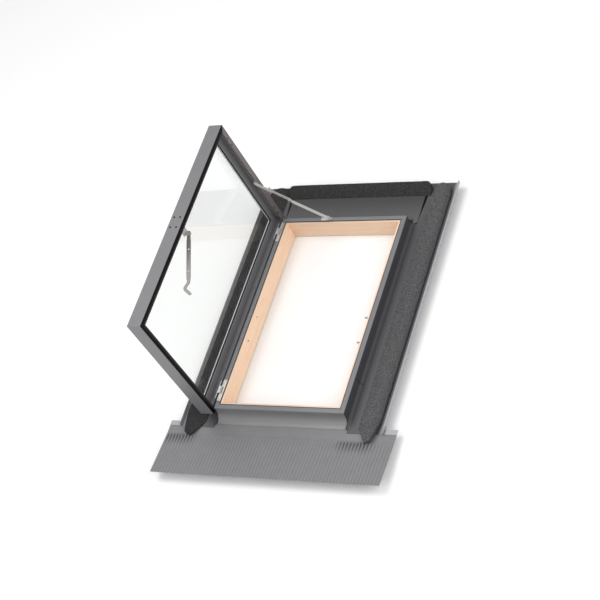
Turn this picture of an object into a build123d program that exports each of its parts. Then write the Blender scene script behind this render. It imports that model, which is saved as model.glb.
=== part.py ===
"""Side-hung roof hatch with a pine frame, a sheet flashing and a glazed sash.

Millimetres. X runs across the roof, Y up the slope and Z out of the roof. The origin is the
middle of the four fixing holes, on the underside of the fixing straps. The sash is drawn shut
over the frame and then turned about its hinge into the open pose.
"""

import os
from math import hypot

from build123d import *

# Clear opening, pine boards and metal caps
opening_width = 384.4
opening_height = 656.0
frame_depth = 61.5
pine_reveal = 7.8
cap_width = 14.0
cap_thickness = 1.5
cap_overhang = 1.5
cap_edge_break = 0.5
frame_gasket_width = 1.8
frame_gasket_height = 2.1

# Fixing straps under the frame
strap_thickness = 3.0
strap_width = 92.0
strap_reach = 65.0
strap_corner_radius = 6.0
strap_inset = 47.2
fixing_hole_reach = 44.0
fixing_hole_radius = 3.0

# Bent sheet round the frame
sheet = 1.0
apron_level = 24.0
gutter_level = apron_level + sheet
side_cover_radius = 10.5
side_cover_run = 12.0
sill_cover_radius = 27.0
sill_cover_run = 30.0
seam_rise = 100.0
seam_gap = 0.6
cover_gap = 0.3
head_cover_reach = 155.2
head_wing_width = 17.0
head_wing_gap = 0.2
head_wing_radius = 8.0
gutter_gap = 4.0
gutter_reach = 118.5
gutter_lip_height = 12.6
gutter_bend_radius = 2.0

# Pleated apron below the sill
apron_side_reach = 40.5
apron_gap = 12.2
apron_strip_width = 50.0
apron_corner_drop = 26.0
apron_pleat_length = 143.0
apron_rise = 14.0
apron_pleat_count = 70
apron_pleat_depth = 1.8
apron_pleat_lap = 3.0
apron_hem_width = 16.0
apron_hem_gap = 1.5
gutter_lap = 2.0
corner_cover_lap = 8.0

# Foam wedges
foam_lip_gap = 13.5
side_foam_width = 69.0
side_foam_height = 20.0
side_foam_edge = 13.0
side_foam_top_drop = 25.0
side_foam_corner_radius = 46.0
side_foam_inner_reach = 23.2
side_foam_tip_reach = 73.2
side_foam_tip_inset = 34.0
side_foam_tip_width = 19.0
side_foam_tip_slant = 5.0
side_foam_taper = 180.0
side_foam_step_gap = 10.0
side_foam_step = 2.3
head_foam_edge_gap = 3.0
head_foam_depth = 46.0
head_foam_height = 21.0
head_foam_edge = 15.0
head_foam_corner_radius = 24.0
foam_joint_gap = 0.3
foam_crest_inset = 8.0
foam_bulge = 1.5

# Sash section and glazing
sash_side_overhang = 10.5
sash_end_overhang = 11.2
sash_depth = 45.8
sash_wall = 1.6
sash_lip = 17.0
sash_gap = 5.6
ledge_level = 29.4
ledge_width = 26.5
cover_flange = 22.0
glass_edge_inset = 5.6
pane_thickness = 3.0
glazing_gasket = 0.6
inner_gasket_width = 4.0
outer_gasket_width = 5.0
spacer_inset = 18.0
spacer_width = 10.0
open_angle = 91.0

# Hinges
hinge_inset = 13.9
hinge_height = 1.0
hinge_length = 72.0
hinge_from_top = 65.0
hinge_from_bottom = 73.0
knuckle_radius = 2.4
knuckle_gap = 0.3
hinge_pin_radius = 1.25
hinge_pin_end = 0.8
running_clearance = 0.05
frame_leaf_thickness = 1.8
frame_leaf_width = 10.3
frame_leaf_narrow = 4.3
sash_leaf_thickness = 1.6
sash_leaf_inset = 6.0
sash_leaf_start = 4.0
lip_clearance = 0.6
notch_width = 7.0
notch_gap = 1.0

# Screws and rivets
screw_radius = 1.5
screw_head_radius = 2.7
screw_head_height = 1.1
screw_length = 14.0
frame_screw_end = 7.0
frame_screw_inset = 6.1
sash_screw_end = 15.5
sash_screw_inset = 10.0
rivet_radius = 1.6
rivet_head_radius = 2.6
rivet_head_height = 0.7
rivet_length = 3.6
spare_hole_radius = 2.0
spare_hole_inset = 13.5
spare_hole_spacing = 29.0
spare_hole_end = 61.5

# Catch pins in the jamb opposite the hinges, and pilot holes for the other hand
catch_pin_radius = 2.5
catch_pin_reach = 18.5
catch_pin_seat = 12.0
catch_pin_break = 0.8
catch_pin_places = (-13.0, -100.0)
catch_pin_drop = 17.0
pilot_depth = 8.0

# Handle on the opening stile
handle_plane_inset = 57.5
handle_pivot_level = 10.0
handle_hang_angle = 20.7
handle_thickness = 3.0
handle_width = 12.8
handle_eye_radius = 7.6
handle_neck_width = 10.8
handle_neck_length = 20.0
handle_neck_taper = 5.0
handle_straight = 178.0
handle_bend_length = 50.0
handle_bend = -13.0
handle_bend_radius_share = 0.2
handle_bend_start_share = 0.14
handle_bend_low_share = 0.5
handle_tip = 4.0
handle_grip_width = 9.5
handle_taper = 12.0
handle_hole_radius = 3.4
handle_hole_places = (59.5, 141.5)
handle_pin_radius = 3.0
handle_pin_head_radius = 5.0
handle_pin_head_height = 1.3
handle_gap = 0.3
head_clearance = 0.1
bracket_thickness = 2.0
bracket_half_length = 26.0
bracket_base_low = 3.0
bracket_base_high = 28.0
bracket_arm_half_width = 12.0
bracket_arm_level = 18.0
bracket_ear_radius = 8.0
handle_rivet_half_spacing = 18.0
handle_rivet_levels = (15.5, 36.0)

# Folding stay at the head
stay_frame_reach = 164.6
stay_frame_height = 13.0
stay_sash_reach = 182.6
stay_sash_height = 10.0
stay_length_difference = 18.0
stay_cap_inset = 1.9
stay_thickness = 2.0
stay_plane_gap = 0.3
stay_width = 10.0
stay_flange = 7.0
stay_flange_thickness = 1.6
stay_flange_start = 16.0
stay_flange_stop = 9.0
stay_pin_radius = 2.5
stay_pin_head_radius = 4.0
stay_pin_head_height = 1.2
stay_elbow_clearance = 0.1
stay_plate = 1.5
stay_ear_radius = 6.0
stay_base_length = 30.0
stay_base_inset = 1.8
stay_base_back_inset = 0.8
stay_base_screws = (5.0, 18.5)
stay_base_screw_inset = 4.2
stay_sash_base_half_length = 12.0
stay_sash_base_inset = 4.0

# Length by which cutters pass what they cut
overrun = 10.0

# Levels and half sizes that follow
pine_top = strap_thickness + frame_depth
cap_top = pine_top + cap_thickness
half_open_x = opening_width / 2
half_open_y = opening_height / 2
cap_in_x = half_open_x + pine_reveal
cap_in_y = half_open_y + pine_reveal
cap_out_x = cap_in_x + cap_width
cap_out_y = cap_in_y + cap_width
pine_out_x = cap_out_x - cap_overhang
pine_out_y = cap_out_y - cap_overhang
half_sash_x = cap_out_x + sash_side_overhang
half_sash_y = cap_out_y + sash_end_overhang
sash_width = 2 * half_sash_x
sash_height = 2 * half_sash_y
sash_bottom = cap_top + sash_gap
sash_top = sash_bottom + sash_depth
lip_top = sash_bottom + sash_wall
ledge_bottom = sash_bottom + ledge_level
ledge_top = ledge_bottom + sash_wall
flange_bottom = sash_top - sash_wall
hinge_x = -half_sash_x + hinge_inset
hinge_z = cap_top + hinge_height
hinge_axis = Axis((hinge_x, 0, hinge_z), (0, -1, 0))
hinge_third = hinge_length / 3
hinge_centres = {"upper": half_sash_y - hinge_from_top, "lower": hinge_from_bottom - half_sash_y}
catch_pin_z = cap_top - catch_pin_drop
fixing_spacing_x = opening_width - 2 * strap_inset
fixing_spacing_y = opening_height + 2 * fixing_hole_reach

# Edges of the sheets and foam that follow
seam_y = seam_rise - half_open_y
head_cover_end = cap_out_y + head_cover_reach
head_cover_half_width = cap_out_x + head_wing_width
head_wing_tip = cap_out_y + head_wing_gap
gutter_start = cap_out_x + gutter_gap
gutter_end = cap_out_x + gutter_reach
apron_half_width = gutter_end + apron_side_reach
apron_start = -cap_out_y - apron_gap
apron_corner_start = apron_start - apron_corner_drop
apron_pleat_start = apron_start - apron_strip_width
apron_end = apron_pleat_start - apron_pleat_length
gutter_lower_end = apron_corner_start - gutter_lap
corner_cover_end = apron_corner_start + corner_cover_lap
side_foam_end = gutter_end - foam_lip_gap
side_foam_start = side_foam_end - side_foam_width
side_foam_top = head_cover_end - side_foam_top_drop
side_foam_inner_end = -cap_out_y - side_foam_inner_reach
side_foam_tip = -cap_out_y - side_foam_tip_reach
side_foam_step_start = gutter_lower_end - side_foam_step_gap
head_foam_end = head_cover_end - head_foam_edge_gap
head_foam_start = head_foam_end - head_foam_depth
head_foam_half_width = side_foam_start - foam_joint_gap

# Places of the stay that follow
stay_frame_x = hinge_x + stay_frame_reach
stay_sash_x = hinge_x + stay_sash_reach
stay_lower_y = cap_in_y + stay_cap_inset
stay_base_start = stay_frame_x - stay_base_length
stay_base_front = cap_in_y + stay_base_inset
stay_base_back = cap_out_y - stay_base_back_inset
stay_sash_base_back = half_sash_y - stay_sash_base_inset

up = (0, 0, 1)
down = (0, 0, -1)

os.makedirs("parts", exist_ok=True)


def save(part, name):
    """Label a finished piece and write it to its own file."""
    part.label = name
    export_step(part, f"parts/{name}.step")


def save_open(part, name):
    """Turn a piece drawn on the shut sash into the open pose, and write it."""
    save(part.rotate(hinge_axis, open_angle), name)


def block(low, high, mode=Mode.ADD):
    """Box between two corners, in the current part."""
    size = Vector(*high) - Vector(*low)
    with Locations((Vector(*low) + Vector(*high)) / 2):
        Box(abs(size.X), abs(size.Y), abs(size.Z), mode=mode)


def rod(start, direction, radius, length, mode=Mode.ADD):
    """Cylinder from a point along a direction, in the current part."""
    with Locations(Plane(origin=start, z_dir=direction).location):
        Cylinder(radius, length, align=(Align.CENTER, Align.CENTER, Align.MIN), mode=mode)


def mitred(profile, half_x, half_y, side):
    """Profile run along one side of a rectangle and cut at 45 degrees at both ends.

    The profile gives (distance inward, level), and side is the unit vector towards that side.
    """
    side = Vector(*side)
    along = Vector(*up).cross(side)
    middle = Vector(side.X * half_x, side.Y * half_y, 0)
    half_length = half_y if side.X else half_x
    with BuildPart() as member:
        with BuildSketch(Plane(origin=middle, x_dir=-side, z_dir=along)):
            with BuildLine():
                Polyline(*profile, close=True)
            make_face()
        extrude(amount=half_length, both=True)
        for end in (along, -along):
            split(bisect_by=Plane(origin=middle + end * half_length, z_dir=end - side), keep=Keep.BOTTOM)
    return member.part


def ring(inset, width, low, thickness):
    """Flat rectangular ring at an inset from the sash edge."""
    with BuildPart() as band:
        with BuildSketch(Plane.XY.offset(low)):
            Rectangle(sash_width - 2 * inset, sash_height - 2 * inset)
            Rectangle(sash_width - 2 * (inset + width), sash_height - 2 * (inset + width), mode=Mode.SUBTRACT)
        extrude(amount=thickness)
    return band.part


def mirrored(part):
    """The same piece on the other side of the hatch."""
    with BuildPart() as other:
        mirror(part, about=Plane.YZ)
    return other.part


sides = {"head": (0, 1, 0), "sill": (0, -1, 0), "left": (-1, 0, 0), "right": (1, 0, 0)}

# Places of the hinge screws on the cap, and of the stay bracket's screws
frame_screw_x = hinge_x + frame_screw_inset
frame_screw_places = [
    (frame_screw_x, centre + end * (hinge_length / 2 - frame_screw_end), cap_top + frame_leaf_thickness)
    for centre in hinge_centres.values()
    for end in (-1, 1)
]
stay_screw_places = [
    (stay_base_start + place, cap_out_y - stay_base_screw_inset, cap_top + stay_plate)
    for place in stay_base_screws
]
sash_leaf_half_length = hinge_length / 2 - sash_leaf_inset
sash_screw_x = sash_screw_inset - half_sash_x
sash_screw_places = [
    (sash_screw_x, centre + end * (sash_leaf_half_length - sash_screw_end), lip_top + sash_leaf_thickness)
    for centre in hinge_centres.values()
    for end in (-1, 1)
]
handle_rivet_places = [
    (half_sash_x, end * handle_rivet_half_spacing, sash_bottom + level)
    for level in handle_rivet_levels
    for end in (-1, 1)
]

# Pine head and sill across the full width, jambs between them
for name, way in (("frame_head", 1), ("frame_sill", -1)):
    with BuildPart() as board:
        block((-pine_out_x, way * half_open_y, strap_thickness), (pine_out_x, way * pine_out_y, pine_top))
        if way > 0:
            for place in stay_screw_places:
                rod(place, down, screw_radius, screw_length, Mode.SUBTRACT)
    save(board.part, name)

with BuildPart() as jamb_left:
    block((-pine_out_x, -half_open_y, strap_thickness), (-half_open_x, half_open_y, pine_top))
    for place in frame_screw_places:
        rod(place, down, screw_radius, screw_length, Mode.SUBTRACT)
    for y in catch_pin_places:
        rod((-half_open_x, y, catch_pin_z), (-1, 0, 0), catch_pin_radius, pilot_depth, Mode.SUBTRACT)
save(jamb_left.part, "frame_jamb_left")

with BuildPart() as jamb_right:
    block((half_open_x, -half_open_y, strap_thickness), (pine_out_x, half_open_y, pine_top))
    for y in catch_pin_places:
        rod((half_open_x, y, catch_pin_z), (1, 0, 0), catch_pin_radius, catch_pin_seat, Mode.SUBTRACT)
save(jamb_right.part, "frame_jamb_right")

# Catch pins with broken tips
with BuildPart() as catch_pins:
    for y in catch_pin_places:
        rod((half_open_x + catch_pin_seat, y, catch_pin_z), (-1, 0, 0), catch_pin_radius,
            catch_pin_seat + catch_pin_reach)
    chamfer(catch_pins.edges().group_by(Axis.X)[0], length=catch_pin_break)
save(catch_pins.part, "catch_pins")

# Mitred caps on the pine, the left one notched for the hinge knuckles
cap_profile = [
    (0, pine_top),
    (cap_width, pine_top),
    (cap_width, cap_top),
    (cap_edge_break, cap_top),
    (0, cap_top - cap_edge_break),
]
for name, side in sides.items():
    with BuildPart() as cap:
        add(mitred(cap_profile, cap_out_x, cap_out_y, side))
        if name == "left":
            for centre in hinge_centres.values():
                half_notch = hinge_length / 2 + notch_gap
                block((-cap_out_x - overrun, centre - half_notch, pine_top - overrun),
                      (-cap_out_x + notch_width, centre + half_notch, cap_top + overrun), Mode.SUBTRACT)
            for place in frame_screw_places:
                rod(place, down, screw_radius, screw_length, Mode.SUBTRACT)
        if name == "head":
            for place in stay_screw_places:
                rod(place, down, screw_radius, screw_length, Mode.SUBTRACT)
    save(cap.part, f"rim_{name}")

# Gasket along the inner edge of the caps
with BuildPart() as frame_gasket:
    with BuildSketch(Plane.XY.offset(pine_top)):
        Rectangle(2 * cap_in_x, 2 * cap_in_y)
        Rectangle(2 * (cap_in_x - frame_gasket_width), 2 * (cap_in_y - frame_gasket_width),
                  mode=Mode.SUBTRACT)
    extrude(amount=frame_gasket_height)
save(frame_gasket.part, "frame_gasket")

# Fixing straps, screwed to the roof through one hole each
for end_name, end_way in (("head", 1), ("sill", -1)):
    for side_name, side_way in (("left", -1), ("right", 1)):
        strap_x = side_way * fixing_spacing_x / 2
        with BuildPart() as strap:
            with BuildSketch() as outline:
                with Locations((strap_x, end_way * (half_open_y + strap_reach / 2))):
                    Rectangle(strap_width, strap_reach)
                corners = outline.vertices().group_by(Axis.Y)
                fillet(corners[-1] if end_way > 0 else corners[0], radius=strap_corner_radius)
                with Locations((strap_x, end_way * fixing_spacing_y / 2)):
                    Circle(fixing_hole_radius, mode=Mode.SUBTRACT)
            extrude(amount=strap_thickness)
        save(strap.part, f"fixing_strap_{end_name}_{side_name}")

# Side and corner covers: an upstand below the cap that runs out into a hollow foot
cover_x = pine_out_x + sheet / 2
cover_foot_z = gutter_level + sheet / 2
sill_cover_y = -pine_out_y - sheet / 2
sill_foot_z = apron_level + sheet / 2
sill_hollow_y = sill_cover_y - sill_cover_radius
sill_hollow_z = sill_foot_z + sill_cover_radius
sill_cover_half_length = cap_out_x
cover_lengths = {
    "side": (pine_out_y - cover_gap, seam_y + seam_gap / 2),
    "corner": (seam_y - seam_gap / 2, corner_cover_end),
}
for kind, (start, end) in cover_lengths.items():
    with BuildPart() as cover:
        with BuildSketch(Plane.XZ.offset(-start)):
            with BuildLine():
                FilletPolyline((cover_x, pine_top), (cover_x, cover_foot_z),
                               (cover_x + side_cover_run, cover_foot_z), radius=side_cover_radius)
            trace(line_width=sheet)
        extrude(amount=start - end)
        if kind == "corner":
            cut_end_x = sill_cover_half_length + cover_gap
            cut_end_y = corner_cover_end - overrun
            rod((cap_in_x, sill_hollow_y, sill_hollow_z), (1, 0, 0),
                sill_cover_radius + sheet / 2 + cover_gap, cut_end_x - cap_in_x, Mode.SUBTRACT)
            block((cap_in_x, sill_hollow_y - overrun, sill_foot_z - sheet),
                  (cut_end_x, cut_end_y, sill_hollow_z), Mode.SUBTRACT)
            block((cap_in_x, -pine_out_y, sill_hollow_z),
                  (cut_end_x, cut_end_y, pine_top + overrun), Mode.SUBTRACT)
    save(cover.part, f"{kind}_cover_right")
    save(mirrored(cover.part), f"{kind}_cover_left")

# Sill cover, hollow towards the apron
with BuildPart() as sill_cover:
    with BuildSketch(Plane.YZ.offset(-sill_cover_half_length)):
        with BuildLine():
            FilletPolyline((sill_cover_y, pine_top), (sill_cover_y, sill_foot_z),
                           (sill_cover_y - sill_cover_run, sill_foot_z), radius=sill_cover_radius)
        trace(line_width=sheet)
    extrude(amount=2 * sill_cover_half_length)
save(sill_cover.part, "sill_cover")

# Head cover: upstand, hollow foot and floor in one sheet, with a rounded wing at each side
head_cover_y = pine_out_y + sheet / 2
with BuildPart() as head_cover:
    with BuildSketch(Plane.YZ.offset(-cap_out_x)):
        with BuildLine():
            FilletPolyline((head_cover_y, pine_top), (head_cover_y, cover_foot_z),
                           (head_cover_end, cover_foot_z), radius=sill_cover_radius)
        trace(line_width=sheet)
    extrude(amount=2 * cap_out_x)
    with BuildSketch(Plane.XY.offset(gutter_level)) as wings:
        with Locations((0, head_wing_tip)):
            Rectangle(2 * head_cover_half_width, head_cover_end - head_wing_tip,
                      align=(Align.CENTER, Align.MIN))
        fillet(wings.vertices().group_by(Axis.Y)[0], radius=head_wing_radius)
        with Locations((0, head_wing_tip)):
            Rectangle(2 * cap_out_x, head_cover_y + sill_cover_radius - head_wing_tip,
                      align=(Align.CENTER, Align.MIN), mode=Mode.SUBTRACT)
    extrude(amount=sheet)
save(head_cover.part, "head_cover")

# Side flashings with an upturned outer lip
gutter_z = apron_level + sheet / 2
with BuildPart() as side_flashing:
    with BuildSketch(Plane.XZ.offset(-head_cover_end)):
        with BuildLine():
            FilletPolyline((gutter_start, gutter_z), (gutter_end, gutter_z),
                           (gutter_end, gutter_z + gutter_lip_height), radius=gutter_bend_radius)
        trace(line_width=sheet)
    extrude(amount=head_cover_end - gutter_lower_end)
save(side_flashing.part, "side_flashing_right")
save(mirrored(side_flashing.part), "side_flashing_left")

# Apron: a flat strip, hems at its upper corners, and pleats that rise with the tiles below
apron_z = apron_level - sheet / 2
pleat_half_pitch = apron_half_width / apron_pleat_count
pleat_low = apron_z - apron_pleat_depth / 2
pleat_line = [
    (step * pleat_half_pitch - apron_half_width, pleat_low + apron_pleat_depth * (step % 2))
    for step in range(2 * apron_pleat_count + 1)
]
pleat_top = [(x, z + sheet / 2) for x, z in pleat_line]
pleat_bottom = [(x, z - sheet / 2) for x, z in reversed(pleat_line)]
hem_start = gutter_end + apron_hem_gap
pleat_begin = apron_pleat_start + apron_pleat_lap
with BuildPart() as apron:
    block((-apron_half_width, apron_pleat_start, apron_level - sheet),
          (apron_half_width, apron_start, apron_level))
    for way in (-1, 1):
        block((way * hem_start, apron_corner_start + apron_hem_width, apron_level - 2 * sheet),
              (way * (apron_half_width + overrun), 0, apron_level + sheet), Mode.SUBTRACT)
        block((way * hem_start, apron_corner_start, apron_level - sheet),
              (way * apron_half_width, apron_corner_start + apron_hem_width, apron_level + sheet))
    with BuildSketch(Plane.XZ.offset(-pleat_begin)):
        with BuildLine():
            Polyline(*pleat_top, *pleat_bottom, close=True)
        make_face()
    extrude(amount=hypot(apron_end - pleat_begin, apron_rise), dir=(0, apron_end - pleat_begin, apron_rise))
save(apron.part, "apron")

# Foam wedges beside the frame, thick on the outside, with an oblique lower end
with BuildPart() as side_foam:
    with BuildSketch(Plane.XZ.offset(-side_foam_top)):
        foot = (side_foam_start, gutter_level)
        crest = (side_foam_end - foam_crest_inset, gutter_level + side_foam_height)
        edge = (side_foam_end, gutter_level + side_foam_edge)
        with BuildLine():
            SagittaArc(foot, crest, foam_bulge)
            SagittaArc(crest, edge, foam_bulge)
            Polyline(edge, (side_foam_end, gutter_level), foot)
        make_face()
    extrude(amount=side_foam_top - side_foam_tip)
    with BuildSketch(Plane.XY) as side_plan:
        with BuildLine():
            Polyline((side_foam_start, side_foam_inner_end),
                     (side_foam_start + side_foam_tip_inset, side_foam_tip),
                     (side_foam_start + side_foam_tip_inset + side_foam_tip_width,
                      side_foam_tip + side_foam_tip_slant),
                     (side_foam_end, side_foam_tip + side_foam_taper),
                     (side_foam_end, side_foam_top), (side_foam_start, side_foam_top), close=True)
        make_face()
        outer_corner = side_plan.vertices().group_by(Axis.Y)[-1].sort_by(Axis.X)[-1]
        fillet(outer_corner, radius=side_foam_corner_radius)
    extrude(amount=pine_top, mode=Mode.INTERSECT)
    block((0, side_foam_step_start, 0),
          (cap_out_x + side_foam_end, side_foam_tip - overrun, gutter_level + side_foam_step), Mode.SUBTRACT)
save(side_foam.part, "foam_right")
save(mirrored(side_foam.part), "foam_left")

# Foam wedge above the frame
head_foam_z = gutter_level + sheet
with BuildPart() as head_foam:
    with BuildSketch(Plane.YZ.offset(-head_foam_half_width)):
        foot = (head_foam_start, head_foam_z)
        crest = (head_foam_end - foam_crest_inset, head_foam_z + head_foam_height)
        edge = (head_foam_end, head_foam_z + head_foam_edge)
        with BuildLine():
            SagittaArc(foot, crest, foam_bulge)
            SagittaArc(crest, edge, foam_bulge)
            Polyline(edge, (head_foam_end, head_foam_z), foot)
        make_face()
    extrude(amount=2 * head_foam_half_width)
    with BuildSketch(Plane.XY) as head_plan:
        with Locations((0, head_foam_start)):
            Rectangle(2 * head_foam_half_width, head_foam_depth, align=(Align.CENTER, Align.MIN))
        fillet(head_plan.vertices().group_by(Axis.Y)[-1], radius=head_foam_corner_radius)
    extrude(amount=pine_top, mode=Mode.INTERSECT)
save(head_foam.part, "foam_head")

# Frame leaves, hinge pins and sash leaves
for name, centre in hinge_centres.items():
    low_y = centre - hinge_length / 2
    high_y = centre + hinge_length / 2
    with BuildPart() as frame_leaf:
        block((hinge_x + frame_leaf_width - frame_leaf_narrow, low_y, cap_top),
              (hinge_x + frame_leaf_width, high_y, cap_top + frame_leaf_thickness))
        for start in (low_y, high_y - hinge_third):
            block((hinge_x, start, cap_top),
                  (hinge_x + frame_leaf_width, start + hinge_third, cap_top + frame_leaf_thickness))
            rod((hinge_x, start, hinge_z), (0, 1, 0), knuckle_radius, hinge_third)
        rod((hinge_x, low_y, hinge_z), (0, 1, 0), hinge_pin_radius, hinge_length, Mode.SUBTRACT)
        for place in frame_screw_places:
            rod(place, down, screw_radius, screw_length, Mode.SUBTRACT)
    save(frame_leaf.part, f"hinge_frame_leaf_{name}")

    with BuildPart() as hinge_pin:
        rod((hinge_x, low_y - hinge_pin_end, hinge_z), (0, 1, 0), hinge_pin_radius,
            hinge_length + 2 * hinge_pin_end)
    save(hinge_pin.part, f"hinge_pin_{name}")

    middle_low = low_y + hinge_third + knuckle_gap
    middle_high = high_y - hinge_third - knuckle_gap
    riser_x = -half_sash_x + sash_lip + lip_clearance
    riser_back_x = riser_x + sash_leaf_thickness
    web_z = hinge_z - sash_leaf_thickness / 2
    with BuildPart() as sash_leaf:
        rod((hinge_x, middle_low, hinge_z), (0, 1, 0), knuckle_radius, middle_high - middle_low)
        block((hinge_x, middle_low, web_z), (riser_back_x, middle_high, web_z + sash_leaf_thickness))
        block((riser_x, middle_low, web_z), (riser_back_x, middle_high, lip_top + sash_leaf_thickness))
        block((-half_sash_x + sash_leaf_start, centre - sash_leaf_half_length, lip_top),
              (riser_back_x, centre + sash_leaf_half_length, lip_top + sash_leaf_thickness))
        rod((hinge_x, middle_low, hinge_z), (0, 1, 0), hinge_pin_radius + running_clearance,
            middle_high - middle_low, Mode.SUBTRACT)
        for place in sash_screw_places:
            rod(place, down, screw_radius, screw_length, Mode.SUBTRACT)
    save_open(sash_leaf.part, f"hinge_sash_leaf_{name}")

# Screws of the hinges and of the stay bracket
with BuildPart() as frame_screws:
    for place in frame_screw_places:
        rod(place, up, screw_head_radius, screw_head_height)
        rod(place, down, screw_radius, screw_length)
save(frame_screws.part, "hinge_frame_screws")

with BuildPart() as stay_screws:
    for place in stay_screw_places:
        rod(place, up, screw_head_radius, screw_head_height)
        rod(place, down, screw_radius, screw_length)
save(stay_screws.part, "stay_bracket_screws")

with BuildPart() as sash_screws:
    for place in sash_screw_places:
        rod(place, up, screw_head_radius, screw_head_height)
        rod(place, down, screw_radius, sash_leaf_thickness + sash_wall)
save_open(sash_screws.part, "hinge_sash_screws")

# Sash members: outer wall, lip, glazing ledge and cover flange in one section
sash_profile = [
    (0, sash_bottom),
    (sash_lip, sash_bottom),
    (sash_lip, lip_top),
    (sash_wall, lip_top),
    (sash_wall, ledge_bottom),
    (ledge_width, ledge_bottom),
    (ledge_width, ledge_top),
    (sash_wall, ledge_top),
    (sash_wall, flange_bottom),
    (cover_flange, flange_bottom),
    (cover_flange, sash_top),
    (0, sash_top),
]
sash_names = {"head": "sash_rail_top", "sill": "sash_rail_bottom", "left": "sash_stile_left",
              "right": "sash_stile_right"}
for side_name, side in sides.items():
    with BuildPart() as member:
        add(mitred(sash_profile, half_sash_x, half_sash_y, side))
        if side_name == "left":
            for place in sash_screw_places:
                rod(place, down, screw_radius, screw_length, Mode.SUBTRACT)
        if side_name == "right":
            for place in handle_rivet_places:
                rod(place, (-1, 0, 0), rivet_radius, rivet_length, Mode.SUBTRACT)
        if side_name == "head":
            for pair in (-1, 1):
                for end in (-1, 1):
                    hole_x = pair * (half_sash_x - spare_hole_end) - end * spare_hole_spacing / 2
                    rod((hole_x, half_sash_y - spare_hole_inset, lip_top), down, spare_hole_radius,
                        sash_wall, Mode.SUBTRACT)
    save_open(member.part, sash_names[side_name])

# Sealed double pane between gaskets
inner_pane_z = ledge_top + glazing_gasket
outer_pane_z = flange_bottom - glazing_gasket - pane_thickness
spacer_z = inner_pane_z + pane_thickness
for name, level in (("pane_inner", inner_pane_z), ("pane_outer", outer_pane_z)):
    with BuildPart() as pane:
        block((glass_edge_inset - half_sash_x, glass_edge_inset - half_sash_y, level),
              (half_sash_x - glass_edge_inset, half_sash_y - glass_edge_inset, level + pane_thickness))
    save_open(pane.part, name)
save_open(ring(spacer_inset, spacer_width, spacer_z, outer_pane_z - spacer_z), "glass_spacer")
save_open(ring(ledge_width - inner_gasket_width, inner_gasket_width, ledge_top, glazing_gasket),
          "glazing_gasket_inner")
save_open(ring(cover_flange - outer_gasket_width, outer_gasket_width, flange_bottom - glazing_gasket,
               glazing_gasket), "glazing_gasket_outer")

# Handle bracket on the inside of the opening stile
handle_x = half_sash_x - handle_plane_inset
pivot_z = sash_bottom + handle_pivot_level
ear_x = handle_x + handle_thickness + handle_gap
wall_x = half_sash_x - sash_wall
arm_z = sash_bottom + bracket_arm_level
with BuildPart() as handle_bracket:
    block((wall_x - bracket_thickness, -bracket_half_length, sash_bottom + bracket_base_low),
          (wall_x, bracket_half_length, sash_bottom + bracket_base_high))
    block((ear_x, -bracket_arm_half_width, arm_z),
          (wall_x, bracket_arm_half_width, arm_z + bracket_thickness))
    block((ear_x, -bracket_ear_radius, pivot_z),
          (ear_x + bracket_thickness, bracket_ear_radius, arm_z + bracket_thickness))
    rod((ear_x, 0, pivot_z), (1, 0, 0), bracket_ear_radius, bracket_thickness)
    rod((ear_x, 0, pivot_z), (1, 0, 0), handle_pin_radius, bracket_thickness, Mode.SUBTRACT)
    for place in handle_rivet_places:
        rod(place, (-1, 0, 0), rivet_radius, rivet_length, Mode.SUBTRACT)
save_open(handle_bracket.part, "handle_bracket")

with BuildPart() as handle_rivets:
    for place in handle_rivet_places:
        rod(place, (1, 0, 0), rivet_head_radius, rivet_head_height)
        rod(place, (-1, 0, 0), rivet_radius, rivet_length)
save_open(handle_rivets.part, "handle_rivets")

with BuildPart() as handle_pin:
    rod((handle_x - head_clearance, 0, pivot_z), (-1, 0, 0), handle_pin_head_radius, handle_pin_head_height)
    rod((handle_x - head_clearance, 0, pivot_z), (1, 0, 0), handle_pin_radius,
        ear_x + bracket_thickness - handle_x + head_clearance)
save_open(handle_pin.part, "handle_pin")

# Flat handle bar, hanging from its pivot, with two catch holes and a curved grip
hang = Vector(0, -1, 0).rotate(Axis.X, handle_hang_angle)
handle_taper_start = handle_straight - handle_taper
handle_tip_at = handle_straight + handle_bend_length
bar_edge = [
    (0, handle_neck_width / 2),
    (handle_neck_length, handle_neck_width / 2),
    (handle_neck_length + handle_neck_taper, handle_width / 2),
    (handle_taper_start, handle_width / 2),
    (handle_straight, handle_grip_width / 2),
]
grip_line = [
    (handle_straight, 0),
    (handle_straight + handle_bend_length * handle_bend_start_share, 0),
    (handle_straight + handle_bend_length * handle_bend_low_share, handle_bend),
    (handle_tip_at, handle_tip),
]
with BuildPart() as handle_bar:
    with BuildSketch(Plane(origin=(handle_x, 0, pivot_z), x_dir=hang, z_dir=(1, 0, 0))):
        Circle(handle_eye_radius)
        with BuildLine():
            Polyline(*bar_edge, *[(along, -across) for along, across in reversed(bar_edge)], close=True)
        make_face()
        with BuildLine():
            FilletPolyline(*grip_line, radius=handle_bend_length * handle_bend_radius_share)
        trace(line_width=handle_grip_width)
        with Locations((handle_tip_at, handle_tip)):
            Circle(handle_grip_width / 2)
        Circle(handle_pin_radius + running_clearance, mode=Mode.SUBTRACT)
        with Locations(*[(place, 0) for place in handle_hole_places]):
            Circle(handle_hole_radius, mode=Mode.SUBTRACT)
    extrude(amount=handle_thickness)
save_open(handle_bar.part, "handle_bar")

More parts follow.
